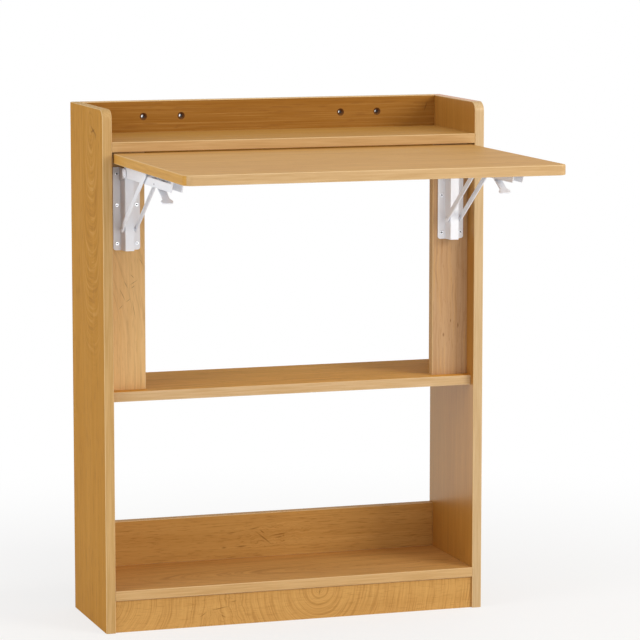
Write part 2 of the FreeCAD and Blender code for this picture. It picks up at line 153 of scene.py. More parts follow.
# Boards: colours, and the share of an amber resin
ground_tones = ("#BE8C43", "#CC9B52")
fibre_tone = "#AC7A3A"
early_wood_tone = "#D6A863"
late_wood_tone = "#96642C"
fleck_tone = "#8A5A26"
crack_tone = "#6A4118"
# Painted highlight: the paler colour of the eased corners
painted_edge_highlight_tone = "#E6CA9C"
# Dark brown of the wall-fixing holes: the chipboard core, and painted shade in the countersink
bore_core_and_shade_tone = "#6B4522"
plain_band = ("#D2AE7C", "#C09964")
bright_band = ("#D2B38A", "#C29F70")
resin_weight = 0.25

# Wall-fixing holes in the top rail, in metres, and the radius of the dark disc painted over each, for the
# chipboard core in the hole and painted shade in its countersink, in millimetres
wall_hole_places = (-0.189, -0.129, 0.129, 0.189)
wall_hole_height = 0.762
bore_core_and_shade_radius = 5.8

# Other finishes, in millimetres
dowel_grain = (12.0, 1.2)
peel_size = 1.6
film_size = 25.0
plated_marks = (1.0, 1.0, 1.0)
drawn_marks = (6.0, 0.5, 0.5)

# Sockets of a Mix node: its share, then the first, the second and the result of vectors and of colours
SHARE = 0
VECTOR_A, VECTOR_B, VECTOR_MIXED = 4, 5, 1
COLOUR_A, COLOUR_B, COLOUR_MIXED = 6, 7, 2


def linear(colour):
    """Linear colour of an sRGB hex value."""
    parts = [int(colour[i:i + 2], 16) / 255 for i in (1, 3, 5)]
    return tuple(p / 12.92 if p <= 0.04045 else ((p + 0.055) / 1.055) ** 2.4 for p in parts) + (1.0,)


def add(tree, kind, feeds=None, **settings):
    """Adds a node.  Settings are its own properties; feeds go into its inputs, as values or links."""
    node = tree.nodes.new(kind)
    for name, value in settings.items():
        setattr(node, name, value)
    for place, feed in (feeds or {}).items():
        if isinstance(feed, bpy.types.NodeSocket):
            tree.links.new(feed, node.inputs[place])
        else:
            node.inputs[place].default_value = feed
    return node


def bare_material(name):
    """A new material with only its shader: (material, tree, shader)."""
    material = bpy.data.materials.new(name)
    material.use_nodes = True
    tree = material.node_tree
    return material, tree, tree.nodes["Principled BSDF"]


def finish_shader(tree, shader, colour, roughness, height, bump, depth):
    """Feeds a shader its colour, roughness and surface relief."""
    relief = add(tree, "ShaderNodeBump", {"Strength": bump, "Distance": depth, "Height": height})
    tree.links.new(colour, shader.inputs["Base Color"])
    tree.links.new(roughness, shader.inputs["Roughness"])
    tree.links.new(relief.outputs["Normal"], shader.inputs["Normal"])


def from_oval(tree, board, along, across, length, width, angle=0.0):
    """Distance from the middle of an oval that goes right through a board, in its half sizes."""
    inside = add(tree, "ShaderNodeMapping",
                 {"Vector": board, "Location": (along, across, 0.0),
                  "Rotation": (0.0, 0.0, math.radians(angle)),
                  "Scale": (length * mm, width * mm, endless)}, vector_type="TEXTURE").outputs[0]
    return add(tree, "ShaderNodeVectorMath", {0: inside}, operation="LENGTH").outputs["Value"]


def bent_grain(tree, board, sheet, sway, stretch, burls):
    """Places on a board, moved so that its grain wanders and swirls in the burls."""
    wander = add(tree, "ShaderNodeTexNoise",
                 {"Vector": board, "W": sheet, "Scale": 1 / (wobble_size * mm), "Detail": 3.0},
                 noise_dimensions="4D").outputs["Color"]
    reach = (sway * stretch * mm, sway * mm, 0.0)
    bend = add(tree, "ShaderNodeVectorMath", {0: wander, 1: reach, 2: [-r / 2 for r in reach]},
               operation="MULTIPLY_ADD").outputs[0]
    bent = add(tree, "ShaderNodeVectorMath", {0: board, 1: bend}, operation="ADD").outputs[0]
    for oval in burls:
        strength = add(tree, "ShaderNodeMapRange",
                       {"Value": from_oval(tree, board, *oval), "From Min": burl_core,
                        "To Min": burl_reach * mm, "To Max": 0.0},
                       interpolation_type="SMOOTHSTEP").outputs[0]
        swirl = add(tree, "ShaderNodeTexNoise",
                    {"Vector": board, "W": sheet, "Scale": 1 / (burl_grain * mm), "Detail": 2.0},
                    noise_dimensions="4D").outputs["Color"]
        turn = add(tree, "ShaderNodeVectorMath", {0: swirl, 1: (0.5, 0.5, 0.5)},
                   operation="SUBTRACT").outputs[0]
        turn = add(tree, "ShaderNodeVectorMath", {0: turn, 3: strength}, operation="SCALE").outputs[0]
        bent = add(tree, "ShaderNodeVectorMath", {0: bent, 1: turn}, operation="ADD").outputs[0]
    return bent


def growth_rings(tree, board, bent, sheet, hearts, ring, stretch, steep, figure, patch):
    """How strongly the early wood and the late wood of the growth rings show."""
    radius = None
    for along, across in hearts:
        out = add(tree, "ShaderNodeMapping",
                  {"Vector": bent, "Location": (along, across, 0.0),
                   "Scale": (ring * stretch * mm, ring * mm, endless)}, vector_type="TEXTURE").outputs[0]
        squares = add(tree, "ShaderNodeVectorMath", {0: out, 1: out}, operation="MULTIPLY").outputs[0]
        rise = add(tree, "ShaderNodeVectorMath",
                   {0: squares, 1: (0.0, (ring / steep) ** 2, 0.0), 2: (1.0, 1.0, 1.0)},
                   operation="MULTIPLY_ADD").outputs[0]
        out = add(tree, "ShaderNodeVectorMath", {0: out, 1: rise}, operation="MULTIPLY").outputs[0]
        rings = add(tree, "ShaderNodeVectorMath", {0: out}, operation="LENGTH").outputs["Value"]
        if radius is not None:
            rings = add(tree, "ShaderNodeMath", {0: radius, 1: rings, 2: heart_blend},
                        operation="SMOOTH_MIN").outputs[0]
        radius = rings
    faded = add(tree, "ShaderNodeMapping",
                {"Vector": bent, "Scale": (fade_size[0] * mm, fade_size[1] * mm, 1.0)},
                vector_type="TEXTURE").outputs[0]
    fade = add(tree, "ShaderNodeSeparateXYZ", {"Vector": faded}).outputs
    growth = add(tree, "ShaderNodeCombineXYZ", {"X": radius, "Y": fade["X"], "Z": fade["Y"]}).outputs[0]
    wood = add(tree, "ShaderNodeTexNoise",
               {"Vector": growth, "W": sheet, "Scale": 1.0, "Detail": 2.0, "Roughness": 0.6},
               noise_dimensions="4D").outputs["Fac"]
    shows = figure
    if patch:
        shows = add(tree, "ShaderNodeMapRange",
                    {"Value": from_oval(tree, board, *patch), "From Min": patch_fade[0],
                     "From Max": patch_fade[1], "To Min": figure, "To Max": 0.0},
                    interpolation_type="SMOOTHSTEP").outputs[0]
    return [add(tree, "ShaderNodeMapRange",
                {"Value": wood, "From Min": start, "From Max": full, "To Max": shows}).outputs[0]
            for start, full in (early_wood_span, late_wood_span)]


def edge_band(tree, board, facing, end_on, sheet, bands):
    """Colour of the edge band, whose grain runs along each edge.  end_on is how far the surface is turned
    to the grain; bands are the colours of most edges, and of the one at the low end of the grain, where
    a board paints shade on that end."""
    axes = add(tree, "ShaderNodeSeparateXYZ", {"Vector": board}).outputs
    crosswise = add(tree, "ShaderNodeCombineXYZ", {"X": axes["Y"], "Y": axes["X"], "Z": axes["Z"]}).outputs[0]
    at_end = add(tree, "ShaderNodeMath", {0: end_on, 1: end_facing}, operation="GREATER_THAN").outputs[0]
    along_edge = add(tree, "ShaderNodeMix", {SHARE: at_end, VECTOR_A: board, VECTOR_B: crosswise},
                     data_type="VECTOR").outputs[VECTOR_MIXED]
    length, width = band_grain
    scaled = add(tree, "ShaderNodeMapping",
                 {"Vector": along_edge, "Scale": (length * mm, width * mm, width * mm)},
                 vector_type="TEXTURE").outputs[0]
    fibre = add(tree, "ShaderNodeTexNoise", {"Vector": scaled, "W": sheet, "Scale": 1.0, "Detail": 3.0},
                noise_dimensions="4D").outputs["Fac"]
    share = add(tree, "ShaderNodeMapRange",
                {"Value": fibre, "From Min": streak_span[0], "From Max": streak_span[1]}).outputs[0]
    plain, low = [add(tree, "ShaderNodeMix",
                      {SHARE: share, COLOUR_A: linear(light), COLOUR_B: linear(dark)},
                      data_type="RGBA").outputs[COLOUR_MIXED] for light, dark in bands]
    pointing = add(tree, "ShaderNodeSeparateXYZ", {"Vector": facing}).outputs["X"]
    at_low_end = add(tree, "ShaderNodeMath", {0: pointing, 1: -end_facing}, operation="LESS_THAN").outputs[0]
    return add(tree, "ShaderNodeMix", {SHARE: at_low_end, COLOUR_A: plain, COLOUR_B: low},
               data_type="RGBA").outputs[COLOUR_MIXED]


# Oak-look laminate: a printed paper under satin resin on chipboard, so the figure has colour but
# almost no depth.  The edges carry a separate paler band with short straight grain, and the eased
# corners between the two carry a painted highlight, a paler colour.
def oak_laminate(name, lie, hearts, ring, stretch, figure, sheet, stain_and_painted_light=("#DDB885", 0.0), sheen=0.06,
                 gloss=(0.46, 0.6), amber=None, patch=None, steep=1000.0, sway=9.0, flecks=fine_flecks,
                 fibres=0.45, cracks=(), burls=(), bores=(), band=plain_band, low_end_shade_band=None):
    """hearts are the centres of the growth rings, (along, across); ring is about half of the rings'
    spacing across the grain and stretch how much longer they are along it; figure is how strongly
    they show; sheet picks another part of the print; stain is a colour over the whole sheet and its
    share, and on the right panel, top shelf and top rail it also paints shade, and on the middle shelf
    and left stile it paints light; sheen is how much the sheet mirrors, gloss its least and greatest
    roughness, and amber the tint of a resin that warms what it mirrors at a low angle.  patch is the
    oval that the rings show in and burls are ovals where the grain swirls, both (along, across, half
    length, half width); steep is how far from the heart the rings turn along the grain and sway how
    far the grain wanders; flecks are (length, width, strength) and fibres a strength; cracks are
    (along, across, half length, half width, angle) and bores (along, across, radius) are the
    wall-fixing holes, each painted over with a dark disc that stands for the chipboard core and for
    painted shade in the countersink.  Places are in metres and lengths in millimetres.  band holds the
    edge band's two colours, and low_end_shade_band those at the grain's low end, painted darker as shade."""
    material, tree, shader = bare_material(name)
    shader.inputs["Specular IOR Level"].default_value = sheen
    if amber:
        shader.inputs["Coat Weight"].default_value = resin_weight
        shader.inputs["Coat IOR"].default_value = 1.0
        shader.inputs["Coat Roughness"].default_value = gloss[1]
        shader.inputs["Coat Tint"].default_value = linear(amber)
    place = add(tree, "ShaderNodeTexCoord").outputs
    board, facing = [add(tree, "ShaderNodeMapping", {"Vector": place[kind], "Rotation": lie},
                         vector_type="TEXTURE").outputs[0] for kind in ("Object", "Normal")]
    either_way = add(tree, "ShaderNodeVectorMath", {0: facing}, operation="ABSOLUTE").outputs[0]
    turned_to = add(tree, "ShaderNodeSeparateXYZ", {"Vector": either_way}).outputs

    bent = bent_grain(tree, board, sheet, sway, stretch, burls)
    early_wood, late_wood = growth_rings(tree, board, bent, sheet, hearts, ring, stretch, steep, figure,
                                         patch)
    layers = {"streak": (streak_size, streak_span, 1.0), "fibre": (fibre_size, fibre_span, fibres),
              "fleck": (flecks[:2], fleck_span, flecks[2])}
    grain = {}
    shows = {}
    for layer, ((length, width), (start, full), strength) in layers.items():
        scaled = add(tree, "ShaderNodeMapping",
                     {"Vector": bent, "Scale": (length * mm, width * mm, width * mm)},
                     vector_type="TEXTURE").outputs[0]
        grain[layer] = add(tree, "ShaderNodeTexNoise",
                           {"Vector": scaled, "W": sheet, "Scale": 1.0, "Detail": 3.0},
                           noise_dimensions="4D").outputs["Fac"]
        shows[layer] = add(tree, "ShaderNodeMapRange",
                           {"Value": grain[layer], "From Min": start, "From Max": full,
                            "To Max": strength}).outputs[0]
    tints = [stain_and_painted_light, (fibre_tone, shows["fibre"]), (early_wood_tone, early_wood),
             (late_wood_tone, late_wood), (fleck_tone, shows["fleck"])]
    for crack in cracks:
        share = add(tree, "ShaderNodeMapRange",
                    {"Value": from_oval(tree, board, *crack), "From Min": crack_fade[0],
                     "From Max": crack_fade[1], "To Min": crack_share, "To Max": 0.0}).outputs[0]
        tints.append((crack_tone, share))
    dark, light = ground_tones
    colour = add(tree, "ShaderNodeMix",
                 {SHARE: shows["streak"], COLOUR_A: linear(dark), COLOUR_B: linear(light)},
                 data_type="RGBA").outputs[COLOUR_MIXED]
    for tint, share in tints:
        colour = add(tree, "ShaderNodeMix", {SHARE: share, COLOUR_A: colour, COLOUR_B: linear(tint)},
                     data_type="RGBA").outputs[COLOUR_MIXED]

    banded = edge_band(tree, board, facing, turned_to["X"], sheet, (band, low_end_shade_band or band))
    on_face = add(tree, "ShaderNodeMapRange",
                  {"Value": turned_to["Z"], "From Min": face_span[0], "From Max": face_span[1]},
                  interpolation_type="SMOOTHSTEP").outputs[0]
    colour = add(tree, "ShaderNodeMix", {SHARE: on_face, COLOUR_A: banded, COLOUR_B: colour},
                 data_type="RGBA").outputs[COLOUR_MIXED]
    # Painted highlight: the eased corners between the face and the edge band are made paler
    off_edge = add(tree, "ShaderNodeMapRange",
                   {"Value": turned_to["Z"], "From Min": corner_start[0], "From Max": corner_start[1],
                    "To Max": painted_edge_highlight_share}).outputs[0]
    painted_edge_highlight = add(tree, "ShaderNodeMapRange",
                 {"Value": turned_to["Z"], "From Min": corner_end[0], "From Max": corner_end[1],
                  "To Min": off_edge, "To Max": 0.0}).outputs[0]
    tints = [(painted_edge_highlight_tone, painted_edge_highlight)]
    # A dark disc over each wall-fixing hole: the chipboard core, and painted shade in the countersink
    for along, across, radius in bores:
        far = from_oval(tree, board, along, across, radius, radius)
        tints.append((bore_core_and_shade_tone, add(tree, "ShaderNodeMath", {0: far, 1: 1.0},
                                     operation="LESS_THAN").outputs[0]))
    for tint, share in tints:
        colour = add(tree, "ShaderNodeMix", {SHARE: share, COLOUR_A: colour, COLOUR_B: linear(tint)},
                     data_type="RGBA").outputs[COLOUR_MIXED]
    roughness = add(tree, "ShaderNodeMapRange",
                    {"Value": grain["fibre"], "To Min": gloss[0], "To Max": gloss[1]}).outputs[0]
    height = add(tree, "ShaderNodeMath", {0: grain["fibre"], 1: shows["fleck"]},
                 operation="SUBTRACT").outputs[0]
    finish_shader(tree, shader, colour, roughness, height, bump=0.12, depth=0.2 * mm)
    return material


# Beech dowels: close straight grain, raw and dry.
def beech():
    material, tree, shader = bare_material("raw_beech")
    place = add(tree, "ShaderNodeTexCoord").outputs["Object"]
    length, width = dowel_grain
    scaled = add(tree, "ShaderNodeMapping", {"Vector": place, "Scale": (length * mm, width * mm, width * mm)},
                 vector_type="TEXTURE").outputs[0]
    grain = add(tree, "ShaderNodeTexNoise", {"Vector": scaled, "Scale": 1.0, "Detail": 3.0}).outputs["Fac"]
    colour = add(tree, "ShaderNodeMix",
                 {SHARE: grain, COLOUR_A: linear("#DDBB8C"), COLOUR_B: linear("#C49C68")},
                 data_type="RGBA").outputs[COLOUR_MIXED]
    gloss = add(tree, "ShaderNodeMapRange", {"Value": grain, "To Min": 0.65, "To Max": 0.8}).outputs[0]
    finish_shader(tree, shader, colour, gloss, grain, bump=0.2, depth=0.2 * mm)
    return material


# White powder coat on the pressings: satin, with a fine orange peel and a film that is slightly
# greyer in places.
def white_powder():
    material, tree, shader = bare_material("white_powder_coat")
    place = add(tree, "ShaderNodeTexCoord").outputs["Object"]
    peel, film = [add(tree, "ShaderNodeTexNoise",
                      {"Vector": place, "Scale": 1 / (size * mm), "Detail": 2.0}).outputs["Fac"]
                  for size in (peel_size, film_size)]
    colour = add(tree, "ShaderNodeMix",
                 {SHARE: film, COLOUR_A: linear("#F2F5FC"), COLOUR_B: linear("#E8ECF4")},
                 data_type="RGBA").outputs[COLOUR_MIXED]
    gloss = add(tree, "ShaderNodeMapRange", {"Value": peel, "To Min": 0.32, "To Max": 0.46}).outputs[0]
    finish_shader(tree, shader, colour, gloss, peel, bump=0.08, depth=0.1 * mm)
    return material


# Plated or dark steel: bright, and brighter the smoother it is, with the fine marks of its making.
def steel(name, light, dark, smooth, rough, mark_size):
    material, tree, shader = bare_material(name)
    shader.inputs["Metallic"].default_value = 1.0
    place = add(tree, "ShaderNodeTexCoord").outputs["Object"]
    scaled = add(tree, "ShaderNodeMapping", {"Vector": place, "Scale": [size * mm for size in mark_size]},
                 vector_type="TEXTURE").outputs[0]
    marks = add(tree, "ShaderNodeTexNoise", {"Vector": scaled, "Scale": 1.0, "Detail": 3.0}).outputs["Fac"]
    colour = add(tree, "ShaderNodeMix", {SHARE: marks, COLOUR_A: linear(light), COLOUR_B: linear(dark)},
                 data_type="RGBA").outputs[COLOUR_MIXED]
    gloss = add(tree, "ShaderNodeMapRange", {"Value": marks, "To Min": smooth, "To Max": rough}).outputs[0]
    finish_shader(tree, shader, colour, gloss, marks, bump=0.06, depth=0.05 * mm)
    return material


BODY_OF = {node: body for body, nodes in frame["record"]["behaviour"]["bodies"].items() for node in nodes}


def shown(name, mesh):
    """A new object at the origin that holds this mesh."""
    piece = bpy.data.objects.new(name, mesh)
    scene.collection.objects.link(piece)
    return piece


def baked(piece):
    """The piece with the result of its modifiers as its own plain mesh."""
    evaluated = piece.evaluated_get(bpy.context.evaluated_depsgraph_get())
    piece.data = bpy.data.meshes.new_from_object(evaluated)
    piece.modifiers.clear()
    return piece


def stands_for(piece, node):
    """The piece rides where its solid rides, and takes its place."""
    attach(piece, BODY_OF[node])
    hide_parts(node)


def merged(node):
    """A solid's mesh with its loose triangles joined, as a bmesh."""
    shape = bmesh.new()
    shape.from_mesh(frame["nodes"][node].data)
    bmesh.ops.remove_doubles(shape, verts=shape.verts, dist=join_within)
    return shape


def solid_boxes(node):
    """Low and high corner of each separate solid of a node."""
    shape = merged(node)
    boxes = []
    left = set(shape.verts)
    while left:
        reached = [left.pop()]
        for vert in reached:
            fresh = {edge.other_vert(vert) for edge in vert.link_edges} & left
            left -= fresh
            reached.extend(fresh)
        corners = list(zip(*[vert.co for vert in reached]))
        boxes.append((Vector(map(min, corners)), Vector(map(max, corners))))
    shape.free()
    return sorted(boxes, key=lambda box: tuple(box[0]))


def finished(node, material, edge):
    """A copy of a solid with softened edges and smooth rounds."""
    shape = merged(node)
    bmesh.ops.dissolve_limit(shape, angle_limit=flat_within, verts=shape.verts, edges=shape.edges)
    mesh = bpy.data.meshes.new(node + "_finished")
    shape.to_mesh(mesh)
    shape.free()
    mesh.shade_smooth()
    mesh.set_sharp_from_angle(angle=smooth_below)
    mesh.materials.append(material)
    piece = shown(node + "_finished", mesh)
    bevel = piece.modifiers.new("soft_edges", "BEVEL")
    bevel.width = edge
    bevel.segments = edge_steps
    bevel.limit_method = "ANGLE"
    bevel.angle_limit = smooth_below
    piece.modifiers.new("flat_faces", "WEIGHTED_NORMAL").keep_sharp = True
    stands_for(baked(piece), node)


def node_tree(name, inputs):
    """An empty geometry tree with its named inputs: (tree, what the inputs give)."""
    tree = bpy.data.node_groups.new(name, "GeometryNodeTree")
    tree.interface.new_socket("Places", in_out="INPUT", socket_type="NodeSocketGeometry")
    for label, kind in inputs:
        tree.interface.new_socket(label, in_out="INPUT", socket_type=kind)
    tree.interface.new_socket("Pieces", in_out="OUTPUT", socket_type="NodeSocketGeometry")
    return tree, add(tree, "NodeGroupInput").outputs


def grown(name, mesh, tree, given):
    """A piece that a geometry tree grows on a mesh of points or lines."""
    piece = shown(name, mesh)
    modifier = piece.modifiers.new("grown", "NODES")
    modifier.node_group = tree
    for item in tree.interface.items_tree:
        if item.name in given:
            modifier[item.identifier] = given[item.name]
    return baked(piece)


def cross_headed_tree():
    """Fasteners with a cross recess: a head that may taper, and a shank under it."""
    tree, given = node_tree("cross_headed_fasteners",
                            [(label, "NodeSocketFloat") for label in PLATE_SCREW]
                            + [("Facing", "NodeSocketRotation"), ("Finish", "NodeSocketMaterial"),
                               ("Recess Shade Finish", "NodeSocketMaterial")])
    head = add(tree, "GeometryNodeMeshCone",
               {"Vertices": turned_sides, "Radius Top": given["Crown Radius"],
                "Radius Bottom": given["Rim Radius"], "Depth": given["Head Height"]}).outputs["Mesh"]
    down = add(tree, "ShaderNodeMath", {0: given["Head Height"], 1: -1.0}, operation="MULTIPLY").outputs[0]
    head_place = add(tree, "ShaderNodeCombineXYZ", {"Z": down}).outputs[0]
    head = add(tree, "GeometryNodeTransform", {"Geometry": head, "Translation": head_place}).outputs[0]
    head = add(tree, "GeometryNodeSetMaterial", {"Geometry": head, "Material": given["Finish"]}).outputs[0]
    cut = add(tree, "GeometryNodeMeshBoolean", {"Mesh 1": head}, operation="DIFFERENCE")
    for span, width in (("Recess Span", "Recess Width"), ("Recess Width", "Recess Span")):
        size = add(tree, "ShaderNodeCombineXYZ",
                   {"X": given[span], "Y": given[width], "Z": given["Recess Depth"]}).outputs[0]
        double = add(tree, "ShaderNodeVectorMath", {0: size, 1: (1.0, 1.0, 2.0)},
                     operation="MULTIPLY").outputs[0]
        slot = add(tree, "GeometryNodeMeshCube", {"Size": double}).outputs["Mesh"]
        # The recess takes a dark finish of its own: painted shade in the cross recess
        slot = add(tree, "GeometryNodeSetMaterial",
                   {"Geometry": slot, "Material": given["Recess Shade Finish"]}).outputs[0]
        tree.links.new(slot, cut.inputs["Mesh 2"])
    shank = add(tree, "GeometryNodeMeshCylinder",
                {"Vertices": turned_sides, "Radius": given["Shank Radius"],
                 "Depth": given["Shank Length"]}).outputs["Mesh"]
    half = add(tree, "ShaderNodeMath", {0: given["Shank Length"], 1: -0.5, 2: down},
               operation="MULTIPLY_ADD").outputs[0]
    shank_place = add(tree, "ShaderNodeCombineXYZ", {"Z": half}).outputs[0]
    shank = add(tree, "GeometryNodeTransform", {"Geometry": shank, "Translation": shank_place}).outputs[0]
    shank = add(tree, "GeometryNodeSetMaterial", {"Geometry": shank, "Material": given["Finish"]}).outputs[0]
    whole = add(tree, "GeometryNodeJoinGeometry", {"Geometry": cut.outputs["Mesh"]})
    tree.links.new(shank, whole.inputs["Geometry"])
    placed = add(tree, "GeometryNodeInstanceOnPoints",
                 {"Points": given["Places"], "Instance": whole.outputs[0],
                  "Rotation": given["Facing"]}).outputs[0]
    real = add(tree, "GeometryNodeRealizeInstances", {"Geometry": placed}).outputs[0]
    add(tree, "NodeGroupOutput", {"Pieces": real})
    return tree


def turned_tree():
    """Turned pieces: each line of the places is an axis, with the radius at each of its points."""
    tree, given = node_tree("turned_pieces", [("Sides", "NodeSocketInt"), ("Finish", "NodeSocketMaterial")])
    axis = add(tree, "GeometryNodeMeshToCurve", {"Mesh": given["Places"]}).outputs[0]
    radius = add(tree, "GeometryNodeInputNamedAttribute", {"Name": "turned_radius"},
                 data_type="FLOAT").outputs[0]
    circle = add(tree, "GeometryNodeCurvePrimitiveCircle",
                 {"Resolution": given["Sides"], "Radius": 1.0}).outputs[0]
    round_shape = add(tree, "GeometryNodeCurveToMesh",
                      {"Curve": axis, "Profile Curve": circle, "Scale": radius,
                       "Fill Caps": True}).outputs[0]
    real = add(tree, "GeometryNodeRealizeInstances", {"Geometry": round_shape}).outputs[0]
    coated = add(tree, "GeometryNodeSetMaterial", {"Geometry": real, "Material": given["Finish"]}).outputs[0]
    add(tree, "NodeGroupOutput", {"Pieces": coated})
    return tree


def cross_headed(node, tree, pointing, sizes, finish, recess_shade_finish):
    """Grows cross-headed fasteners whose heads end at the outer faces of a node's solids."""
    outward, facing = pointing
    places = []
    for low, high in solid_boxes(node):
        middle = (low + high) / 2
        half = (high - low) / 2
        places.append(middle + Vector([o * h for o, h in zip(outward, half)]))
    mesh = bpy.data.meshes.new(node + "_turned")
    mesh.from_pydata(places, [], [])
    given = {label: size * mm for label, size in sizes.items()}
    given.update({"Facing": facing, "Finish": finish, "Recess Shade Finish": recess_shade_finish})
    stands_for(grown(node + "_turned", mesh, tree, given), node)


def turned(node, tree, profile, finish, paired=False):
    """Turns a node's solids about X.  The profile gives (distance from the start, radius) for a length
    and an outer radius.  It starts at a solid's low end, or for a pair at the ends that face each other."""
    points = []
    lines = []
    radii = []
    for low, high in solid_boxes(node):
        middle = (low + high) / 2
        outer = max(high.y - low.y, high.z - low.z) / 2
        start, way = low.x, 1
        if paired and middle.x < pair_middle(node):
            start, way = high.x, -1
        first = len(points)
        for distance, radius in profile(high.x - low.x, outer):
            points.append((start + way * distance, middle.y, middle.z))
            radii.append(radius)
        lines.extend((i, i + 1) for i in range(first, len(points) - 1))
    mesh = bpy.data.meshes.new(node + "_turned")
    mesh.from_pydata(points, lines, [])
    attribute = mesh.attributes.new("turned_radius", "FLOAT", "POINT")
    attribute.data.foreach_set("value", radii)
    piece = grown(node + "_turned", mesh, tree, {"Sides": turned_sides, "Finish": finish})
    piece.data.shade_smooth()
    piece.data.set_sharp_from_angle(angle=smooth_below)
    stands_for(piece, node)


def pair_middle(node):
    """Middle of the pair of solids that a node holds, along X."""
    low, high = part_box(node)
    return (low.x + high.x) / 2


def headed(pin_radius, head_height, collar=None):
    """Profile of a pin with a chamfered head at each end, and a collar (start, end) behind each head."""
    def profile(length, outer):
        half = [(0.0, outer - pin_chamfer), (pin_chamfer, outer), (head_height, outer),
                (head_height + step, pin_radius)]
        if collar:
            start, end = collar
            half += [(start, pin_radius), (start + step, outer), (end, outer), (end + step, pin_radius)]
        return half + [(length - distance, radius) for distance, radius in reversed(half)]
    return profile


def plain_pin(length, outer):
    """Profile of a pin with chamfered ends."""
    return [(0.0, outer - pin_chamfer), (pin_chamfer, outer), (length - pin_chamfer, outer),
            (length, outer - pin_chamfer)]


def rivet_head(length, outer):
    """Profile of a low domed rivet head, from the sheet outwards."""
    profile = [(0.0, outer)]
    for part in range(rivet_steps + 1):
        turn = quarter * part / rivet_steps
        profile.append((length * (rivet_wall + (1 - rivet_wall) * math.sin(turn)),
                        outer * max(math.cos(turn), rivet_tip)))
    return profile


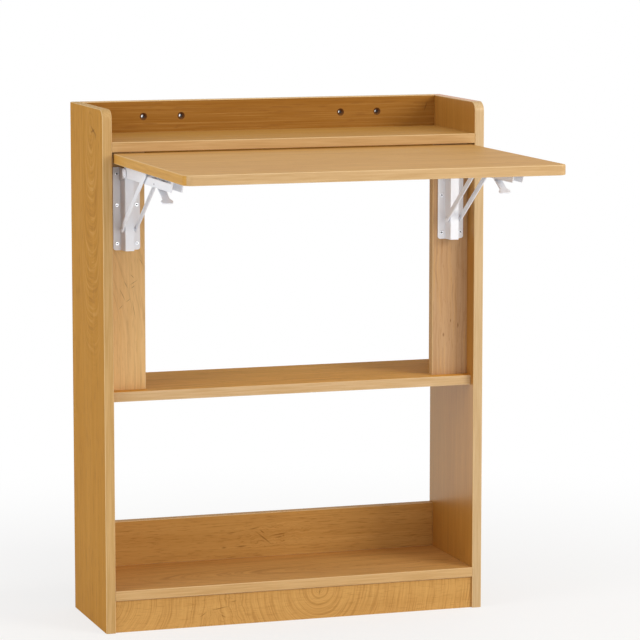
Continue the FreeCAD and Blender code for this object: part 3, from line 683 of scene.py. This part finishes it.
def dress_boards():
    """Finished boards, each from its own part of the print."""
    boards = {
        "left_side_panel": oak_laminate(
            "oak_laminate_left_panel", UPRIGHT_SIDE, [(0.752, 0.163)], ring=3.4, stretch=1.4, figure=0.36,
            sheet=1.7, stain_and_painted_light=("#BA7C06", 0.45), sheen=0.02, patch=(0.60, 0.168, 240, 110), steep=50.0,
            flecks=(30.0, 6.0, 0.3), band=("#CDA974", "#BB945C"),
            cracks=[(0.752, 0.146, 22, 2.6, 70), (0.751, 0.150, 15, 2.4, -77),
                    (0.745, 0.135, 7, 3.0, 10)]),
        # Painted shade: the right panel's dark stain darkens it beyond its print, as it faces away from the
        # key lamp
        "right_side_panel": oak_laminate(
            "oak_laminate_right_panel", UPRIGHT_SIDE, [(0.30, 0.36)], ring=2.0, stretch=8.0, figure=0.25,
            sheet=5.2, stain_and_painted_light=("#7E4C04", 0.36), sheen=0.82, gloss=(0.31, 0.37), amber="#FFF29E",
            fibres=0.25, flecks=(30.0, 5.0, 0.15), band=("#C9AC87", "#B9986D")),
        # Painted shade: a darker stain on the top shelf, for the shadow of things that stand on the desk
        "top_shelf": oak_laminate(
            "oak_laminate_top_shelf", LYING, [(-0.5, 0.30)], ring=2.4, stretch=10.0, figure=0.3,
            sheet=2.3, stain_and_painted_light=("#8A5A18", 0.25)),
        # Painted light: a pale stain brightens the middle shelf, which lies in the desktop's shade
        "middle_shelf": oak_laminate(
            "oak_laminate_middle_shelf", LYING, [(0.45, 0.10)], ring=2.8, stretch=12.0, figure=0.3,
            sheet=3.1, stain_and_painted_light=("#EDB558", 0.95), sheen=0.02, band=bright_band),
        "bottom_shelf": oak_laminate(
            "oak_laminate_bottom_shelf", LYING, [(0.18, 0.16)], ring=2.2, stretch=6.0, figure=0.35,
            sheet=4.4, stain_and_painted_light=("#E0B070", 0.5)),
        "cross_rail": oak_laminate(
            "oak_laminate_cross_rail", STANDING, [(-0.6, 0.69)], ring=2.2, stretch=12.0, figure=0.3,
            sheet=12.4),
        # A darker stain on the top rail: partly its own tone, and partly the painted shadow of things on the
        # desk
        "top_wall_rail": oak_laminate(
            "oak_laminate_top_rail", STANDING, [(0.2, 1.1)], ring=1.0, stretch=18.0, figure=0.3,
            sheet=6.6, stain_and_painted_light=("#8A5408", 0.76), sway=2.5, flecks=(26.0, 1.7, 0.6),
            cracks=[(0.27, 0.768, 9, 1.2, 70)],
            bores=[(along, wall_hole_height, bore_core_and_shade_radius) for along in wall_hole_places]),
        "bottom_back_rail": oak_laminate(
            "oak_laminate_bottom_rail", STANDING, [(0.3, 0.5)], ring=1.1, stretch=14.0, figure=0.32,
            sheet=7.9, stain_and_painted_light=("#B08A60", 0.2), patch=(0.13, 0.095, 260, 90), sway=3.0,
            flecks=(20.0, 1.7, 0.5),
            cracks=[(0.0025, 0.0935, 20, 1.5, -40), (-0.0005, 0.104, 6, 1.4, -38),
                    (-0.033, 0.0825, 9, 1.6, 1), (-0.063, 0.082, 5, 1.6, 3), (-0.014, 0.110, 10, 1.2, 7),
                    (0.030, 0.0985, 14, 1.4, 8), (0.028, 0.094, 8, 1.3, 10), (-0.051, 0.105, 9, 1.1, 4)],
            burls=[(0.02, 0.096, 90, 30)]),
        "plinth_board": oak_laminate(
            "oak_laminate_plinth", STANDING, [(0.0375, 0.046), (-0.305, 0.047)], ring=1.7, stretch=1.0,
            figure=0.4, sheet=8.8, stain_and_painted_light=("#DDB885", 0.2), fibres=0.12,
            cracks=[(-0.1215, 0.0265, 16, 1.0, 10), (-0.099, 0.036, 5, 1.0, 7),
                    (-0.148, 0.0185, 8, 0.9, 35), (-0.117, 0.0145, 7, 0.8, -36),
                    (0.0375, 0.042, 7, 1.1, 80)],
            burls=[(-0.120, 0.024, 70, 40)]),
        # Painted light: a pale stain brightens the left stile, which lies in the shade of the side panel and
        # desktop
        "left_stile": oak_laminate(
            "oak_laminate_left_stile", UPRIGHT_FRONT, [(0.40, -0.42)], ring=3.0, stretch=1.6, figure=0.22,
            sheet=9.3, stain_and_painted_light=("#E6C089", 0.9), fibres=0.2, flecks=(16.0, 1.7, 0.17),
            cracks=[(0.523, -0.258, 7, 0.7, -28), (0.508, -0.2635, 11.5, 0.7, -25),
                    (0.535, -0.248, 4.5, 0.7, -41), (0.5255, -0.246, 8, 0.6, 57),
                    (0.499, -0.2545, 5, 0.6, 53), (0.484, -0.246, 17, 0.6, -11),
                    (0.557, -0.2345, 7, 0.6, -31), (0.519, -0.247, 4.5, 0.7, 55),
                    (0.489, -0.266, 5, 0.6, 41)]),
        "right_stile": oak_laminate(
            "oak_laminate_right_stile", UPRIGHT_FRONT, [(0.44, 0.10)], ring=3.4, stretch=10.0, figure=0.25,
            sheet=10.1, stain_and_painted_light=("#B89F8A", 0.6), fibres=0.3,
            cracks=[(0.4475, 0.258, 3.5, 1.4, 0), (0.426, 0.2465, 4, 2.0, 0), (0.440, 0.270, 5, 1.6, 0)]),
        # Painted shade: the desktop's band at its left end is darker and more golden than its front band
        "desktop": oak_laminate(
            "oak_laminate_desktop", LYING, [(0.6, -0.30)], ring=2.8, stretch=14.0, figure=0.3,
            sheet=11.5, stain_and_painted_light=("#CD9E5B", 0.7), sheen=0.12, band=("#D0AE80", "#BE9968"),
            low_end_shade_band=("#D2A051", "#C08D41")),
    }
    for node, material in boards.items():
        finished(node, material, board_edge)


def dress_brackets(white, nickel, zinc, spring, dark_and_shade_steel):
    """Finished pressings and turned fasteners of both brackets, and the cams in the boards."""
    cross = cross_headed_tree()
    lathe = turned_tree()
    pivot = headed(pivot_pin_radius, pivot_head_height)
    collared = headed(strut_pin_radius, strut_head_height, strut_collar)
    cross_headed("cam_housings", cross, DOWNWARDS, CAM, zinc, dark_and_shade_steel)
    for side in ("left_", "right_"):
        for node in ("wall_plate", "arm", "release_lever", "strut_left_leg", "strut_right_leg"):
            finished(side + node, white, sheet_edge)
        finished(side + "lever_spring", spring, spring_edge)
        cross_headed(side + "wall_plate_screws", cross, FORWARDS, PLATE_SCREW, nickel, dark_and_shade_steel)
        cross_headed(side + "arm_screws", cross, DOWNWARDS, ARM_SCREW, zinc, dark_and_shade_steel)
        turned(side + "arm_pivot_pin", lathe, pivot, white)
        turned(side + "strut_pivot_pin", lathe, collared, white)
        turned(side + "slide_pin", lathe, plain_pin, zinc)
        turned(side + "lever_pin", lathe, plain_pin, dark_and_shade_steel)
        turned(side + "strut_rivets", lathe, rivet_head, white, paired=True)


def coat_hidden(node, material):
    """Gives a solid that stays as it is its material."""
    for slot in frame["nodes"][node].material_slots:
        slot.material = material


def area_lamp(name, place, size, power, colour):
    """A soft square lamp that points at the desk."""
    lamp = bpy.data.lights.new(name, "AREA")
    lamp.shape = "SQUARE"
    lamp.size = size
    lamp.energy = power
    lamp.color = linear(colour)[:3]
    holder = bpy.data.objects.new(name, lamp)
    holder.location = place
    holder.rotation_euler = (Vector(lamp_aim) - Vector(place)).to_track_quat("-Z", "Y").to_euler()
    scene.collection.objects.link(holder)


def seen_white(tree):
    """1 for rays from the camera, a mirror or glass, which see white, and 0 for rays that light the desk."""
    path = add(tree, "ShaderNodeLightPath").outputs
    seen = path["Is Camera Ray"]
    for kind in ("Is Glossy Ray", "Is Transmission Ray"):
        seen = add(tree, "ShaderNodeMath", {0: seen, 1: path[kind]}, operation="MAXIMUM").outputs[0]
    return seen


def studio():
    """Pale floor that runs out to white, a white surround and soft lamps."""
    mesh = bpy.data.meshes.new("floor")
    disc = bmesh.new()
    bmesh.ops.create_circle(disc, cap_ends=True, segments=floor_sides, radius=floor_radius)
    disc.to_mesh(mesh)
    disc.free()
    material, tree, shader = bare_material("pale_floor")
    shader.inputs["Base Color"].default_value = linear("#F4F3F1")
    shader.inputs["Roughness"].default_value = 0.8
    place = add(tree, "ShaderNodeTexCoord").outputs["Object"]
    distance = add(tree, "ShaderNodeVectorMath", {0: place}, operation="LENGTH").outputs["Value"]
    away = add(tree, "ShaderNodeMapRange",
               {"Value": distance, "From Min": floor_near, "From Max": floor_far,
                "To Min": floor_near_white, "To Max": 1.0}, interpolation_type="SMOOTHSTEP").outputs[0]
    white = add(tree, "ShaderNodeMath", {0: seen_white(tree), 1: away}, operation="MULTIPLY").outputs[0]
    glow = add(tree, "ShaderNodeEmission", {"Color": linear("#FFFFFF"), "Strength": 1.0}).outputs[0]
    mixed = add(tree, "ShaderNodeMixShader", {0: white, 1: shader.outputs[0], 2: glow}).outputs[0]
    tree.links.new(mixed, tree.nodes["Material Output"].inputs["Surface"])
    mesh.materials.append(material)
    shown("floor", mesh)

    world = bpy.data.worlds.new("white_surround")
    world.use_nodes = True
    scene.world = world
    tree = world.node_tree
    strength = add(tree, "ShaderNodeMapRange",
                   {"Value": seen_white(tree), "To Min": sky_light, "To Max": 1.0}).outputs[0]
    tree.links.new(strength, tree.nodes["Background"].inputs["Strength"])
    tree.nodes["Background"].inputs["Color"].default_value = linear("#FFFFFF")

    area_lamp("key_lamp", (2.5, -2.7, 2.0), size=1.8, power=80.0, colour="#FFFAF3")
    area_lamp("front_lamp", (0.5, -3.4, 0.35), size=1.6, power=19.0, colour="#FFFFFF")
    area_lamp("left_lamp", (-3.0, -0.7, 1.5), size=1.8, power=37.0, colour="#FFFFFF")
    area_lamp("top_lamp", (0.2, -0.35, 2.7), size=1.6, power=11.0, colour="#FFFFFF")


def place_camera():
    """The camera, at the fitted place and turn."""
    camera = bpy.data.cameras.new("camera")
    camera.lens = camera_lens
    camera.clip_end = camera_reach
    holder = bpy.data.objects.new("camera", camera)
    holder.location = camera_place
    holder.rotation_euler = (math.radians(90 - camera_tilt), 0.0, math.radians(-camera_turn))
    scene.collection.objects.link(holder)
    scene.camera = holder


zinc_plate = steel("zinc_plated_steel", "#C9CCD0", "#A4A8AD", 0.26, 0.4, plated_marks)
spring_steel = steel("spring_steel", "#8E9095", "#6E7076", 0.28, 0.42, drawn_marks)
# Dark steel for the lever pins, and as painted shade in the cross recesses of screws and cams
dark_steel_and_recess_shade = steel("dark_steel_and_recess_shade", "#5A5B5E", "#3E3F42", 0.4, 0.55, plated_marks)
nickel_plate = steel("bright_nickel_plate", "#F4F5F8", "#E9ECF0", 0.2, 0.3, plated_marks)
dress_boards()
dress_brackets(white_powder(), nickel_plate, zinc_plate, spring_steel, dark_steel_and_recess_shade)
coat_hidden("cam_bolts", zinc_plate)
coat_hidden("wood_dowels", beech())
studio()
place_camera()
scene.view_settings.view_transform = "Standard"
